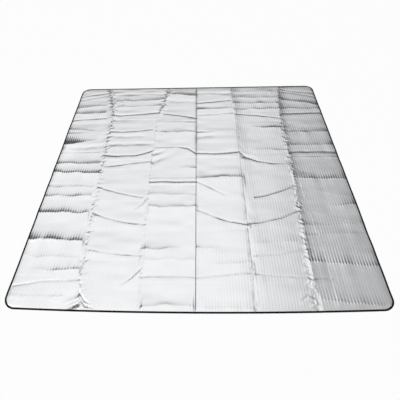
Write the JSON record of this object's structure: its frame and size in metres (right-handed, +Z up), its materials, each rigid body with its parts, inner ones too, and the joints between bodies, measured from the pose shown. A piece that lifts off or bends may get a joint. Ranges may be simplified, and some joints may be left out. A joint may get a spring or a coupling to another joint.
{
  "type": "foam sleeping pad",
  "caption": "Thin square closed-cell foam sleeping pad faced with aluminised film, with a sewn black edge binding and lengthwise creases where its panels fold.",
  "frame": {"origin": "on the ground under the middle of the pad", "axes": "+X across the creases, +Y along them to the back edge, +Z up"},
  "size_m": [2, 2, 0.003],
  "materials": {
    "foam": "closed-cell polyethylene foam, satin skin",
    "film": "soft silver aluminised film",
    "crease": "creased aluminised film",
    "tape": "woven black binding tape",
    "thread": "black polyester sewing thread"
  },
  "bodies": {
    "panel_1": {"foam_core_1": "foam", "bottom_film_1": "film", "top_film_1": "film", "edge_stitching_1": "thread", "edge_tape_1": "tape"},
    "panel_2": {"foam_core_2": "foam", "bottom_film_2": "film", "top_film_2": "film", "edge_stitching_2": "thread", "edge_tape_2_front": "tape", "edge_tape_2_back": "tape", "fold_crease_1": "crease"},
    "panel_3": {"foam_core_3": "foam", "bottom_film_3": "film", "top_film_3": "film", "edge_stitching_3": "thread", "edge_tape_3_front": "tape", "edge_tape_3_back": "tape", "fold_crease_2": "crease"},
    "panel_4": {"foam_core_4": "foam", "bottom_film_4": "film", "top_film_4": "film", "edge_stitching_4": "thread", "edge_tape_4_front": "tape", "edge_tape_4_back": "tape", "centre_seam": "crease", "fold_crease_4": "crease"},
    "panel_5": {"foam_core_5": "foam", "bottom_film_5": "film", "top_film_5": "film", "edge_stitching_5": "thread", "edge_tape_5_front": "tape", "edge_tape_5_back": "tape", "fold_crease_5": "crease"},
    "panel_6": {"foam_core_6": "foam", "bottom_film_6": "film", "top_film_6": "film", "edge_stitching_6": "thread", "edge_tape_6": "tape"}
  },
  "joints": [
    {"name": "centre_fold", "type": "hinge", "parent": "panel_4", "child": "panel_3", "pos_m": [0, 0, 0.019], "axis": [0, 1, 0], "range_deg": [0, 180]},
    {"name": "fold_2", "type": "hinge", "parent": "panel_3", "child": "panel_2", "pos_m": [-0.33333, 0, 0.0085], "axis": [0, 1, 0], "range_deg": [0, 180]},
    {"name": "fold_1", "type": "hinge", "parent": "panel_2", "child": "panel_1", "pos_m": [-0.66667, 0, 0.005], "axis": [0, 1, 0], "range_deg": [0, 180]},
    {"name": "fold_4", "type": "hinge", "parent": "panel_4", "child": "panel_5", "pos_m": [0.33333, 0, 0.0085], "axis": [0, -1, 0], "range_deg": [0, 180]},
    {"name": "fold_5", "type": "hinge", "parent": "panel_5", "child": "panel_6", "pos_m": [0.66667, 0, 0.005], "axis": [0, -1, 0], "range_deg": [0, 180]}
  ]
}
